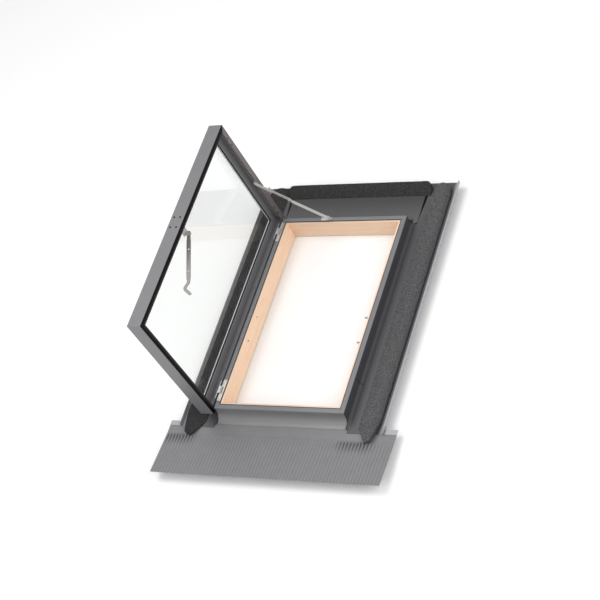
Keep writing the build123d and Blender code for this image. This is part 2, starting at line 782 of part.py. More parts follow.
# Folding stay: two links between a bracket on the head cap and an ear on the top rail
stay_upper_y = stay_lower_y + stay_thickness + stay_plane_gap
stay_ear_y = stay_upper_y + stay_thickness + stay_plane_gap
frame_pivot = Vector(stay_frame_x, 0, cap_top + stay_frame_height)
shut_sash_pivot = Vector(stay_sash_x, 0, cap_top + stay_sash_height)
sash_pivot = (Vertex(shut_sash_pivot).rotate(hinge_axis, open_angle)).center()
open_span = (sash_pivot - frame_pivot).length
lower_length = (open_span + stay_length_difference) / 2
upper_length = open_span - lower_length
stay_line = (sash_pivot - frame_pivot).normalized()
elbow = frame_pivot + stay_line * lower_length


def at_y(point, y):
    """The same point in another plane across the stay."""
    return (point.X, y, point.Z)


with BuildPart() as stay_frame_bracket:
    block((stay_base_start, stay_base_front, cap_top),
          (stay_frame_x + stay_ear_radius, stay_base_back, cap_top + stay_plate))
    block((stay_frame_x - stay_ear_radius, stay_upper_y, cap_top),
          (stay_frame_x + stay_ear_radius, stay_upper_y + stay_plate, frame_pivot.Z))
    rod(at_y(frame_pivot, stay_upper_y), (0, 1, 0), stay_ear_radius, stay_plate)
    rod(at_y(frame_pivot, stay_upper_y), (0, 1, 0), stay_pin_radius, stay_plate, Mode.SUBTRACT)
    for place in stay_screw_places:
        rod(place, down, screw_radius, screw_length, Mode.SUBTRACT)
save(stay_frame_bracket.part, "stay_frame_bracket")

with BuildPart() as stay_frame_pin:
    pin_start = stay_lower_y - head_clearance
    rod(at_y(frame_pivot, pin_start), (0, -1, 0), stay_pin_head_radius, stay_pin_head_height)
    rod(at_y(frame_pivot, pin_start), (0, 1, 0), stay_pin_radius, stay_upper_y + stay_plate - pin_start)
save(stay_frame_pin.part, "stay_frame_pin")

with BuildPart() as stay_lower_link:
    lower_plane = Plane(origin=at_y(frame_pivot, stay_lower_y), x_dir=stay_line, z_dir=(0, 1, 0))
    with BuildSketch(lower_plane):
        with Locations((lower_length / 2, 0)):
            SlotCenterToCenter(lower_length, stay_width)
        Circle(stay_pin_radius + running_clearance, mode=Mode.SUBTRACT)
        with Locations((lower_length, 0)):
            Circle(stay_pin_radius, mode=Mode.SUBTRACT)
    extrude(amount=stay_thickness)
    with BuildSketch(lower_plane):
        with Locations((stay_flange_start, stay_width / 2)):
            Rectangle(lower_length - stay_flange_start - stay_flange_stop, stay_flange_thickness,
                      align=(Align.MIN, Align.MAX))
    extrude(amount=-stay_flange)
save(stay_lower_link.part, "stay_lower_link")

with BuildPart() as stay_elbow_rivet:
    rod(at_y(elbow, stay_lower_y), (0, -1, 0), stay_pin_head_radius, stay_pin_head_height)
    rod(at_y(elbow, stay_lower_y), (0, 1, 0), stay_pin_radius, stay_thickness)
save(stay_elbow_rivet.part, "stay_elbow_rivet")

with BuildPart() as stay_upper_link:
    with BuildSketch(Plane(origin=at_y(sash_pivot, stay_upper_y), x_dir=-stay_line, z_dir=(0, 1, 0))):
        with Locations((upper_length / 2, 0)):
            SlotCenterToCenter(upper_length, stay_width)
        Circle(stay_pin_radius + running_clearance, mode=Mode.SUBTRACT)
        with Locations((upper_length, 0)):
            Circle(stay_pin_radius + stay_elbow_clearance, mode=Mode.SUBTRACT)
    extrude(amount=stay_thickness)
save(stay_upper_link.part, "stay_upper_link")

with BuildPart() as stay_sash_bracket:
    block((stay_sash_x - stay_sash_base_half_length, stay_ear_y, lip_top),
          (stay_sash_x + stay_sash_base_half_length, stay_sash_base_back, lip_top + stay_plate))
    rod(at_y(shut_sash_pivot, stay_ear_y), (0, 1, 0), stay_ear_radius, stay_plate)
    rod(at_y(shut_sash_pivot, stay_ear_y), (0, 1, 0), stay_pin_radius, stay_plate, Mode.SUBTRACT)
save_open(stay_sash_bracket.part, "stay_sash_bracket")

with BuildPart() as stay_sash_pin:
    rod(at_y(shut_sash_pivot, stay_upper_y), (0, 1, 0), stay_pin_radius,
        stay_ear_y + stay_plate - stay_upper_y)
save_open(stay_sash_pin.part, "stay_sash_pin")
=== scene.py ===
"""Looks of the open roof hatch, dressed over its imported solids. Metres throughout."""

import math

import bmesh
import bpy
from mathutils import Matrix, Vector, noise


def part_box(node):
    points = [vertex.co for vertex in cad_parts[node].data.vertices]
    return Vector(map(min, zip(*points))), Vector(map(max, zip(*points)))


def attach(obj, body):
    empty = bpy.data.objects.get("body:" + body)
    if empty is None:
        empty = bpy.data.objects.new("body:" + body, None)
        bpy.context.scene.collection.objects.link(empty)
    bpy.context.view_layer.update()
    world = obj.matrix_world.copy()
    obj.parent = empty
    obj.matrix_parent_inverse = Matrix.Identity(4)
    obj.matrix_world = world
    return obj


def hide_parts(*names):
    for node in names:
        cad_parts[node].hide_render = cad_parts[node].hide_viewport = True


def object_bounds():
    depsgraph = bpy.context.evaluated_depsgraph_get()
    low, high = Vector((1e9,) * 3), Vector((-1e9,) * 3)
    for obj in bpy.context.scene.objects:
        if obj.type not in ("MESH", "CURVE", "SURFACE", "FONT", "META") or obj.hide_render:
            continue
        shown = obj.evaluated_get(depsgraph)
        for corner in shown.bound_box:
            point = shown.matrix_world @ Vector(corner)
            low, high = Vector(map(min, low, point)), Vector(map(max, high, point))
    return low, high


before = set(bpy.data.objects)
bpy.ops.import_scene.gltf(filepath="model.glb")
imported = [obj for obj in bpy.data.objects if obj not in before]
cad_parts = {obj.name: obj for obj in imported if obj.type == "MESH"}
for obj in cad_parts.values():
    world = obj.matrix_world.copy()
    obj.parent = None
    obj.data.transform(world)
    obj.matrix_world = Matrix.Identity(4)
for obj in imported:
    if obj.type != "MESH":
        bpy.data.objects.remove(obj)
cad_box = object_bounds()

# Camera of the photograph
LENS_MM = 101.6
SENSOR_MM = 36.0
CAMERA_PLACE = (2.42303, -2.51045, 3.66118)
CAMERA_RIGHT = (0.87189, 0.28513, -0.39813)
CAMERA_UP = (-0.00207, 0.81515, 0.57925)
CAMERA_BACK = (0.48970, -0.50421, 0.71131)

# Studio
FLOOR_HALF_WIDTH = 9.0
FLOOR_GAP = 0.0005
FLOOR_CLOUD_SCALE = 1.2
FLOOR_SHARES = (1.0, 0.99)
FLOOR_ROUGHNESS = 0.9
WORLD_STRENGTH = 0.56
LIGHTS = {
    "key": {"place": (-1.5, 0.5, 3.9), "width": 2.4, "power": 70.0},
    "front": {"place": (-0.6, -2.6, 2.6), "width": 2.2, "power": 27.0},
    "side": {"place": (2.6, -0.6, 2.2), "width": 2.2, "power": 45.0},
}

# Tones of the finishes, in linear light
BLACK = (0.0, 0.0, 0.0)
WHITE = (1.0, 1.0, 1.0)
FLOOR_TONE = (0.94, 0.94, 0.94)
CAP_TONE = (0.165, 0.170, 0.182)
SASH_TONE = (0.180, 0.178, 0.186)
# Painted shade on the sash's lip, darker still near the sash's edge
SASH_LIP_PAINTED_SHADE_TONE = (0.050, 0.050, 0.052)
SASH_EDGE_LIP_PAINTED_SHADE_TONE = (0.023, 0.023, 0.024)
# Painted reflection: the rail's brownish lip stands in for the pine reflected in it
RAIL_LIP_PAINTED_REFLECTION_TONE = (0.135, 0.112, 0.106)
# Painted shade: the side and corner covers take a darker copy of the cover paint
SIDE_COVER_PAINTED_SHADE_TONE = (0.058, 0.057, 0.062)
HEAD_COVER_TONE = (0.095, 0.095, 0.097)
# Painted shade on the head cover towards the head foam
HEAD_COVER_PAINTED_SHADE = (0.038, 0.038, 0.039)
# Painted light: the sill cover takes a paler copy of the cover paint
SILL_COVER_PAINTED_LIGHT_TONE = (0.205, 0.204, 0.206)
SEAM_TONE = (0.012, 0.012, 0.013)
GUTTER_TONE = (0.064, 0.063, 0.068)
# Painted light on the gutter between the foam and the lip
GUTTER_PAINTED_LIGHT_TONE = (0.21, 0.21, 0.225)
APRON_TONE = (0.207, 0.205, 0.213)
BARE_TONE = (0.34, 0.34, 0.36)
PINE_PALE = (0.93, 0.67, 0.48)
PINE_DARK = (0.78, 0.51, 0.32)
# Painted shade inside the pilot holes in the pine
PILOT_HOLE_SHADE_TONE = (0.05, 0.03, 0.02)
FOAM_DARK = (0.029, 0.029, 0.030)
FOAM_PALE = (0.160, 0.160, 0.165)
STEEL_TONE = (0.60, 0.59, 0.57)
HANDLE_TONE = (0.31, 0.295, 0.285)
RIVET_TONE = (0.004, 0.004, 0.005)
RUBBER_TONE = (0.018, 0.018, 0.019)
SPACER_TONE = (0.80, 0.81, 0.82)
SEALANT_TONE = (0.030, 0.031, 0.032)
GLASS_TONE = (0.95, 0.97, 0.96)
GLASS_TINT = (0.985, 0.988, 0.986)

# Clouds of soft noise: the middle of their range, and how much detail they hold
CLOUD_MIDDLE = 0.5
CLOUD_DETAIL = 2.0
FINE_DETAIL = 3.0

# Coats of the sheets; a pair of shares is what a tone is multiplied by at either end of a cloud
COAT_CLOUD_SCALE = 14.0
FLASHING_CLOUD_SCALE = 30.0
COAT_SHARES = (0.92, 1.08)
COAT_ROUGHNESS_SPREAD = 0.12
CAP_ROUGHNESS = 0.42
COVER_ROUGHNESS = 0.40
SASH_ROUGHNESS = 0.38
SASH_LIP_ROUGHER = 0.3
GUTTER_ROUGHNESS = 0.46
GUTTER_LIP_SMOOTHER = 0.1
APRON_ROUGHNESS = 0.5
APRON_HEM_SMOOTHER = 0.12
PEEL_SCALE = 1400.0
PEEL_DEPTH = 0.0002
PEEL_STRENGTH = 0.12

# Pine
GRAIN_ACROSS = (2.0, 26.0, 26.0)
GRAIN_ALONG = (26.0, 2.0, 26.0)
# Painted shade: the boards with grain across are a darker copy of the same pine
PINE_PAINTED_SHADE_SHARE = 0.86
RING_SCALE = 5.5
RING_DETAIL = 4.0
RING_STOPS = (0.30, 0.52, 0.60, 0.66)
RING_EDGE_SHARE = 0.95
FIBRE_SCALE = 26.0
FIBRE_SHARES = (1.0, 0.9)
FIBRE_DEPTH = 0.0004
FIBRE_STRENGTH = 0.18
FIGURE_SHARE = 0.4
PINE_ROUGHNESS = 0.42
PINE_ROUGHNESS_SPREAD = 0.16
PINE_COAT_WEIGHT = 0.12

# Steel, rivets, rubber and the pane
ZINC_SCALE = 160.0
ZINC_SHARES = (0.85, 1.1)
ZINC_ROUGHNESS = 0.34
ZINC_ROUGHNESS_SPREAD = 0.16
ZINC_GRAIN_SCALE = 900.0
ZINC_GRAIN_DEPTH = 0.0001
ZINC_GRAIN_STRENGTH = 0.15
STEEL_METALLIC = 0.7
HANDLE_METALLIC = 0.3
RIVET_WEAR_SCALE = 700.0
RIVET_SHARES = (0.8, 1.6)
RIVET_ROUGHNESS = 0.7
RIVET_ROUGHNESS_SPREAD = 0.2
RIVET_SHINE = 0.05
RUBBER_DUST_SCALE = 80.0
RUBBER_SHARES = (1.0, 2.2)
RUBBER_ROUGHNESS = 0.62
RUBBER_ROUGHNESS_SPREAD = 0.2
SPACER_STREAK_SCALE = 60.0
SPACER_STREAK = (8.0, 1.0, 8.0)
SPACER_SHARES = (0.9, 1.0)
SPACER_ROUGHNESS = 0.35
SPACER_ROUGHNESS_SPREAD = 0.15
GLASS_FILM_SCALE = 3.0
GLASS_ROUGHNESS = 0.02
GLASS_ROUGHNESS_SPREAD = 0.02
GLASS_MIRROR_SHARE = 0.040
GLASS_MIRROR_SPREAD = 0.01

# Foam cells
# Painted shade: the head and left wedges take a darker copy of the same foam, and every wedge darkens
# towards its outer edge
FOAM_PAINTED_SHADE_SHARE = 0.36
FOAM_EDGE_PAINTED_SHADE_SHARE = 0.70
CELL_SCALE = 420.0
CELL_DEPTH = 0.0006
CELL_STRENGTH = 0.5
SPECK_SCALE = 500.0
SPECK_STOPS = (0.37, 0.63)
FOAM_ROUGHNESS = 0.9
FOAM_ROUGHNESS_SPREAD = 0.1
FOAM_SHINE = 0.15

# Sockets of a mix node that mixes colours
MIX_FACTOR = 0
MIX_FIRST = 6
MIX_SECOND = 7
MIX_RESULT = 2

# Sizes on the hatch that the finishes follow
OPEN_ANGLE = math.radians(91.0)
SASH_LIP_TOP = 0.0063
GUTTER_LIP_GAP = 0.0015
SEAM_WIDTH = 0.0018
EDGE_LINE_WIDTH = 0.0110
EDGE_LIP_WIDTHS = (0.030, 0.050)
EDGE_LIP_DULL_SHARE = 0.35
SPACER_LINE_WIDTH = 0.0022
# Spare holes in the rail's lip, each with a spot of painted shade wider than the hole
SPARE_HOLE_PLACES = (0.047, 0.076)
SPARE_HOLE_INSET = 0.0135
SPARE_HOLE_SHADE_RADIUS = 0.0034
# Widest part of the painted shadow in the slit beside the head cover
SLIT_SHADOW_WIDTH = 0.0085
PILOT_RADIUS = 0.0025

# Apron and its pleats
APRON_STRIP_LENGTH = 0.024
APRON_HEM_WIDTH = 0.016
APRON_HEM_GAP = 0.0015
APRON_CORNER_GAP = 0.002
APRON_RISE = 0.0135
SHEET_THICKNESS = 0.001
PLEAT_COUNT = 70
PLEAT_COLUMNS_EACH = 8
PLEAT_ROWS = 44
PLEAT_DEPTH = 0.0050
PLEAT_FLAT_SHARE = 0.34
PLEAT_ONSET = 0.010
PLEAT_GATHER_LENGTH = 0.050
PLEAT_GATHER_PLACE_SHARE = 0.39
PLEAT_GATHER_SHIFT_SHARE = 0.05
PLEAT_GATHER_EDGE_SHARES = (0.04, 0.10)
# Painted shade in the pleats' valleys and on the flat strip, and painted shadow of the foam's tips where the
# pleats gather
PLEAT_VALLEY_SHADE_SHARE = 0.15
PLEAT_GATHER_SHADOW_SHARE = 0.50
STRIP_SHADE_SHARE = 0.17

# Foam wedges: each solid narrows over FOAM_TAPER to its tip, the wedge only over FOAM_TIP_TAPER
FOAM_MESH_SIZE = 0.007
FOAM_DIVISIONS = 8
FOAM_SMOOTH_SHARE = 0.5
FOAM_SHOULDER_WIDTH = 0.026
FOAM_SHOULDER_FALL = 0.45
FOAM_TOP_REACH = 0.021
FOAM_TOP_STRETCH = 0.150
FOAM_TAPER = 0.180
FOAM_TIP_TAPER = 0.070
FOAM_TIP_SETBACK = 0.016
FOAM_LUMP = 0.0003
FOAM_LUMP_SCALE = 60.0
MERGE_DISTANCE = 0.00001

# Fasteners
FASTENER_SIDES = 24
DOME_RINGS = 10
SCREW_HEAD_RADIUS = 0.0027
SCREW_HEAD_HEIGHT = 0.0011
SCREW_RADIUS = 0.0015
SCREW_END_INSET = 0.007
STAY_SCREW_PLACES = (0.005, 0.0185)
HEAD_TOP_SHARE = 0.72
RECESS_WIDTH_SHARE = 0.24
RECESS_LENGTH_SHARE = 1.1
RECESS_DEPTH_SHARE = 1.2
RIVET_HEAD_RADIUS = 0.0032
RIVET_EDGE = 0.0026
RIVET_HEAD_HEIGHT = 0.0007
RIVET_RADIUS = 0.0016
RIVET_LENGTH = 0.0036


def shade(tone, factor):
    """Tone times a factor."""
    return tuple(channel * factor for channel in tone)


class Wire:
    """A socket that takes part in Python arithmetic."""

    def __init__(self, nodes, socket):
        self.nodes = nodes
        self.socket = socket

    def maths(self, operation, first, second=0.0):
        """Result of one maths node."""
        return self.nodes.node("ShaderNodeMath", {"operation": operation}, {0: first, 1: second})

    def __add__(self, other):
        return self.maths("ADD", self, other)

    def __radd__(self, other):
        return self.maths("ADD", other, self)

    def __sub__(self, other):
        return self.maths("SUBTRACT", self, other)

    def __rsub__(self, other):
        return self.maths("SUBTRACT", other, self)

    def __mul__(self, other):
        return self.maths("MULTIPLY", self, other)

    def __rmul__(self, other):
        return self.maths("MULTIPLY", other, self)

    def __truediv__(self, other):
        return self.maths("DIVIDE", self, other)

    def __rtruediv__(self, other):
        return self.maths("DIVIDE", other, self)

    def __gt__(self, other):
        return self.maths("GREATER_THAN", self, other)

    def __lt__(self, other):
        return self.maths("LESS_THAN", self, other)

    def __abs__(self):
        return self.maths("ABSOLUTE", self)

    def sine(self):
        return self.maths("SINE", self)


class Nodes:
    """A node tree that is written as expressions."""

    def __init__(self, tree):
        self.tree = tree

    def put(self, socket, value):
        """Link a wire to a socket, or set its number, colour or vector."""
        if isinstance(value, Wire):
            self.tree.links.new(value.socket, socket)
        elif socket.type == "RGBA":
            socket.default_value = (*value[:3], 1.0)
        else:
            socket.default_value = value

    def node(self, kind, settings, sockets, result=0):
        """Add any node: its settings first, then the values or links of its sockets."""
        made = self.tree.nodes.new(kind)
        for key, value in settings.items():
            if key == "stops":
                stops = made.color_ramp.elements
                while len(stops) < len(value):
                    stops.new(1.0)
                for stop, (position, colour) in zip(stops, value):
                    stop.position = position
                    stop.color = (*colour, 1.0)
            else:
                setattr(made, key, value)
        for key, value in sockets.items():
            self.put(made.inputs[key], value)
        return Wire(self, made.outputs[result])

    def parts(self, vector):
        """The three numbers of a vector."""
        split = self.node("ShaderNodeSeparateXYZ", {}, {0: vector})
        return [Wire(self, output) for output in split.socket.node.outputs]

    def eased(self, value, start, end):
        """0 before start, 1 after end, and a smooth rise between them."""
        return self.node("ShaderNodeMapRange", {"interpolation_type": "SMOOTHSTEP"},
                         {"Value": value, "From Min": start, "From Max": end})


class Finish(Nodes):
    """A material, on the piece's own coordinates."""

    def __init__(self, name):
        self.material = bpy.data.materials.new(name)
        self.material.use_nodes = True
        super().__init__(self.material.node_tree)
        self.shader = self.tree.nodes["Principled BSDF"]
        self.output = self.tree.nodes["Material Output"]
        self.place = self.node("ShaderNodeTexCoord", {}, {}, "Object")
        self.across, self.along, self.height = self.parts(self.place)

    def coat(self, **sockets):
        """Set the shader's own sockets, named in words with underscores."""
        for key, value in sockets.items():
            self.put(self.shader.inputs[key.replace("_", " ")], value)

    def stretched(self, scale):
        """The piece's coordinates, scaled on each axis."""
        return self.node("ShaderNodeMapping", {}, {"Vector": self.place, "Scale": scale})

    def cloud(self, scale, detail=CLOUD_DETAIL, place=None):
        """Soft noise from 0 to 1."""
        sockets = {"Vector": place or self.place, "Scale": scale, "Detail": detail}
        return self.node("ShaderNodeTexNoise", {}, sockets, "Fac")

    def between(self, first, second, share):
        """Colour between two colours."""
        sockets = {MIX_FACTOR: share, MIX_FIRST: first, MIX_SECOND: second}
        return self.node("ShaderNodeMix", {"data_type": "RGBA"}, sockets, MIX_RESULT)

    def varied(self, tone, shares, cloud):
        """Tone that runs from one share of itself to another with a cloud."""
        return self.between(shade(tone, shares[0]), shade(tone, shares[1]), cloud)

    def lesser(self, first, second):
        """The smaller of two numbers."""
        return self.node("ShaderNodeMath", {"operation": "MINIMUM"}, {0: first, 1: second})

    def spot(self, first, second, radius):
        """1 within a radius of the point where both distances are 0."""
        return first * first + second * second < radius * radius

    def ramp(self, share, places, colours):
        """Colour that passes through the given colours at the given places."""
        return self.node("ShaderNodeValToRGB", {"stops": list(zip(places, colours))}, {"Fac": share})

    def bump(self, height, depth, strength):
        """Uneven surface without geometry."""
        normal = self.node("ShaderNodeBump", {}, {"Height": height, "Distance": depth, "Strength": strength})
        self.coat(Normal=normal)


class Coating(Finish):
    """Satin stove coating: a faint cloud and fine unevenness."""

    def __init__(self, name, scale=COAT_CLOUD_SCALE):
        super().__init__(name)
        self.haze = self.cloud(scale, FINE_DETAIL)
        self.bump(self.cloud(PEEL_SCALE), PEEL_DEPTH, PEEL_STRENGTH)

    def mottled(self, tone):
        """Tone that is a little paler and darker in places."""
        return self.varied(tone, COAT_SHARES, self.haze)

    def satin(self, roughness):
        """Roughness that is a little more and less in places."""
        return roughness + (self.haze - CLOUD_MIDDLE) * COAT_ROUGHNESS_SPREAD


def coated_sheet(name, tone, roughness):
    """Coated sheet of one tone."""
    finish = Coating(name)
    finish.coat(Base_Color=finish.mottled(tone), Roughness=finish.satin(roughness))
    return finish


def cover_sheet(name, tone, seam):
    """Coated cover with a dark line where it ends against the next one; seam is the way to that end."""
    finish = Coating(name)
    at_seam = seam(finish) < SEAM_WIDTH
    finish.coat(Base_Color=finish.between(finish.mottled(tone), SEAM_TONE, at_seam))
    finish.coat(Roughness=finish.satin(COVER_ROUGHNESS))
    return finish


def head_sheet():
    """Coated head cover, with painted shade growing from where it bends up to the frame towards the head
    foam.
    """
    finish = Coating("head cover coating")
    # Painted shade, from the cover's front edge to the head foam
    shaded = finish.eased(finish.along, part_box("head_cover")[0][1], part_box("foam_head")[0][1])
    tone = finish.between(finish.mottled(HEAD_COVER_TONE), HEAD_COVER_PAINTED_SHADE, shaded)
    finish.coat(Base_Color=tone, Roughness=finish.satin(COVER_ROUGHNESS))
    return finish


def sash_depth(across, height):
    """How far a point of the open sash lies above the hinge axis once the sash is shut."""
    low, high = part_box("hinge_pin_upper")
    hinge_x = (low[0] + high[0]) / 2
    hinge_z = (low[2] + high[2]) / 2
    return (height - hinge_z) * math.cos(OPEN_ANGLE) - (across - hinge_x) * math.sin(OPEN_ANGLE)


def sash_coating():
    """Satin coating, with a lip in painted shade that is darkest near the sash's edge, and a black line
    along the lip's outer edge.
    """
    finish = Coating("sash coating")
    on_lip = sash_depth(finish.across, finish.height) < SASH_LIP_TOP
    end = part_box("sash_rail_bottom")[0][1]
    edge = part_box("sash_stile_right")[1][2]
    from_edge = finish.lesser(finish.along - end, edge - finish.height)
    # A black line along the lip's outer edge
    by_edge_line = from_edge < EDGE_LINE_WIDTH
    away_from_edge = finish.eased(from_edge, *EDGE_LIP_WIDTHS)
    # Painted shade: the lip is tinted nearly black, darkest near the sash's edge
    lip = finish.between(finish.between(SASH_EDGE_LIP_PAINTED_SHADE_TONE, SASH_LIP_PAINTED_SHADE_TONE, away_from_edge), SEAM_TONE, by_edge_line)
    finish.coat(Base_Color=finish.between(finish.mottled(SASH_TONE), lip, on_lip))
    finish.coat(Roughness=finish.satin(SASH_ROUGHNESS) + on_lip * SASH_LIP_ROUGHER)
    # The lip is made metallic, most of all at the black edge line, so that its painted shade stays dark
    # under the lamps
    dull = by_edge_line * (1.0 - EDGE_LIP_DULL_SHARE) + EDGE_LIP_DULL_SHARE
    finish.coat(Metallic=on_lip * (1.0 - away_from_edge) * dull)
    return finish


def rail_coating():
    """Satin coating, with a painted reflection of the pine tinting the lip brownish, and painted shade in
    and around the holes for hinges of the other hand.
    """
    finish = Coating("sash coating on the rail")
    low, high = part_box("sash_rail_top")
    from_end = finish.lesser(finish.height - low[2], high[2] - finish.height)
    from_edge = high[1] - finish.along
    on_lip = sash_depth(finish.across, finish.height) < SASH_LIP_TOP
    holes = 0.0
    for place in SPARE_HOLE_PLACES:
        holes = finish.spot(from_end - place, from_edge - SPARE_HOLE_INSET, SPARE_HOLE_SHADE_RADIUS) + holes
    # Painted reflection of the pine on the lip, and painted shade in and around the spare holes
    lip = finish.between(finish.mottled(RAIL_LIP_PAINTED_REFLECTION_TONE), SEAM_TONE, holes)
    finish.coat(Base_Color=finish.between(finish.mottled(SASH_TONE), lip, on_lip))
    finish.coat(Roughness=finish.satin(SASH_ROUGHNESS))
    return finish


def gutter_sheet():
    """Coated gutter with a bright upturned lip, painted light on the strip beyond the foam, and a painted
    shadow in the slit beside the head cover.
    """
    finish = Coating("gutter sheet with bright lip", FLASHING_CLOUD_SCALE)
    low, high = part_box("head_cover")
    on_lip = finish.height > low[2] + GUTTER_LIP_GAP
    # Painted shadow where the gutter runs under and beside the head cover's edge, widening towards the head
    # foam
    slit = SLIT_SHADOW_WIDTH * finish.eased(finish.along, low[1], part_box("foam_head")[0][1])
    in_slit_shadow = (abs(finish.across) < high[0] + slit) * (finish.along > low[1])
    # Painted light on the strip between the foam and the lip, where the foam's shadow falls
    beyond_foam = abs(finish.across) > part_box("foam_right")[1][0]
    tone = finish.between(finish.mottled(GUTTER_TONE), GUTTER_PAINTED_LIGHT_TONE, beyond_foam)
    tone = finish.between(tone, finish.mottled(BARE_TONE), on_lip)
    # The slit is made metallic so that its painted shadow stays dark under the lamps
    finish.coat(Base_Color=finish.between(tone, SEAM_TONE, in_slit_shadow), Metallic=in_slit_shadow)
    finish.coat(Roughness=GUTTER_ROUGHNESS - on_lip * GUTTER_LIP_SMOOTHER)
    return finish


def pleat_wave(across, width):
    """Rise and fall of the pleats, from -1 to 1."""
    return (across / width * (2 * math.pi * PLEAT_COUNT)).sine()


def pleat_gather(nodes, across, below, width):
    """1 where the pleats are gathered, by the foam's tips; below is the way down from the flat strip."""
    from_place = abs(abs(across / width + PLEAT_GATHER_SHIFT_SHARE) - PLEAT_GATHER_PLACE_SHARE)
    by_tip = 1.0 - nodes.eased(from_place, *PLEAT_GATHER_EDGE_SHARES)
    return (1.0 - nodes.eased(below, PLEAT_ONSET, PLEAT_GATHER_LENGTH)) * by_tip


def apron_sheet():
    """Matt apron with bright hems at its upper corners, painted shade in the valleys between the pleats and
    on the flat strip, and painted shadow of the foam's tips where the pleats gather.
    """
    finish = Coating("pleated apron sheet", FLASHING_CLOUD_SCALE)
    low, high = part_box("side_flashing_right")
    fold = low[1] + APRON_CORNER_GAP
    on_hem = (abs(finish.across) > high[0]) * (finish.along > fold)
    width = 2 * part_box("apron")[1][0]
    below = fold - APRON_STRIP_LENGTH - finish.along
    onset = finish.eased(below, 0.0, PLEAT_ONSET)
    # Painted shadow of the foam's tips where the pleats gather, and painted shade in the valleys and on the
    # flat strip
    gathered = pleat_gather(finish, finish.across, below, width) * PLEAT_GATHER_SHADOW_SHARE
    valley_shade = finish.eased(0.0 - pleat_wave(finish.across, width), -1.0, 1.0) * onset
    shaded = valley_shade * (gathered + PLEAT_VALLEY_SHADE_SHARE) + (1.0 - onset) * STRIP_SHADE_SHARE
    plain = finish.between(finish.mottled(APRON_TONE), SEAM_TONE, shaded)
    finish.coat(Base_Color=finish.between(plain, finish.mottled(BARE_TONE), on_hem))
    finish.coat(Roughness=APRON_ROUGHNESS - on_hem * APRON_HEM_SMOOTHER)
    return finish


def pine(name, grain, factor=1.0):
    """Planed pine under a clear coat, with its grain along the board and two pilot holes in painted shade;
    factor darkens the whole finish as painted shade.
    """
    finish = Finish(name)
    rings = finish.cloud(RING_SCALE, RING_DETAIL, finish.stretched(grain))
    fibres = finish.cloud(FIBRE_SCALE, CLOUD_DETAIL, finish.stretched(grain))
    pale = shade(PINE_PALE, factor)
    dark = shade(PINE_DARK, factor)
    figure = finish.ramp(rings, RING_STOPS, (pale, shade(pale, RING_EDGE_SHARE), dark, pale))
    wood = finish.between(finish.varied(pale, FIBRE_SHARES, fibres), figure, FIGURE_SHARE)
    # Painted shade: dark spots for two pilot holes
    low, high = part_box("catch_pins")
    level = (low[2] + high[2]) / 2
    holes = 0.0
    for middle in (low[1] + PILOT_RADIUS, high[1] - PILOT_RADIUS):
        holes = finish.spot(finish.along - middle, finish.height - level, PILOT_RADIUS) + holes
    finish.coat(Base_Color=finish.between(wood, PILOT_HOLE_SHADE_TONE, holes))
    finish.coat(Roughness=PINE_ROUGHNESS + fibres * PINE_ROUGHNESS_SPREAD, Coat_Weight=PINE_COAT_WEIGHT)
    finish.bump(fibres, FIBRE_DEPTH, FIBRE_STRENGTH)
    return finish


def open_foam(name, factor=1.0):
    """Charcoal open-cell foam, speckled where the cell walls catch light, with painted shade towards the
    outer edge; factor darkens it all as painted shade.
    """
    finish = Finish(name)
    sockets = {"Vector": finish.place, "Scale": CELL_SCALE}
    cells = finish.node("ShaderNodeTexVoronoi", {}, sockets, "Distance")
    specks = finish.cloud(SPECK_SCALE)
    share = finish.ramp(specks, SPECK_STOPS, (BLACK, WHITE))
    dark = shade(FOAM_DARK, factor)
    tone = finish.between(dark, shade(FOAM_PALE, factor), share)
    edge_shade = finish.between(dark, shade(FOAM_PALE, factor * FOAM_EDGE_PAINTED_SHADE_SHARE), share)
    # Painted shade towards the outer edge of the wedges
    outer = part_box("foam_right")[1][0]
    at_edge = finish.eased(abs(finish.across), outer - FOAM_SHOULDER_WIDTH, outer)
    finish.coat(Base_Color=finish.between(tone, edge_shade, at_edge))
    finish.coat(Roughness=FOAM_ROUGHNESS + cells * FOAM_ROUGHNESS_SPREAD, Specular_IOR_Level=FOAM_SHINE)
    finish.bump(specks + cells, CELL_DEPTH, CELL_STRENGTH)
    return finish


def plated_steel(name, tone, metallic):
    """Zinc-plated steel with a faint crystalline mottle."""
    finish = Finish(name)
    mottle = finish.cloud(ZINC_SCALE, FINE_DETAIL)
    finish.coat(Base_Color=finish.varied(tone, ZINC_SHARES, mottle))
    finish.coat(Roughness=ZINC_ROUGHNESS + mottle * ZINC_ROUGHNESS_SPREAD, Metallic=metallic)
    finish.bump(finish.cloud(ZINC_GRAIN_SCALE), ZINC_GRAIN_DEPTH, ZINC_GRAIN_STRENGTH)
    return finish


def dark_rivet():
    """Burnished dark heads of the handle rivets."""
    finish = Finish("burnished rivet")
    wear = finish.cloud(RIVET_WEAR_SCALE)
    finish.coat(Base_Color=finish.varied(RIVET_TONE, RIVET_SHARES, wear))
    finish.coat(Roughness=RIVET_ROUGHNESS + wear * RIVET_ROUGHNESS_SPREAD, Specular_IOR_Level=RIVET_SHINE)
    return finish


def black_rubber():
    """Matt extruded rubber."""
    finish = Finish("black rubber gasket")
    dust = finish.cloud(RUBBER_DUST_SCALE, FINE_DETAIL)
    finish.coat(Base_Color=finish.varied(RUBBER_TONE, RUBBER_SHARES, dust))
    finish.coat(Roughness=RUBBER_ROUGHNESS + dust * RUBBER_ROUGHNESS_SPREAD)
    return finish


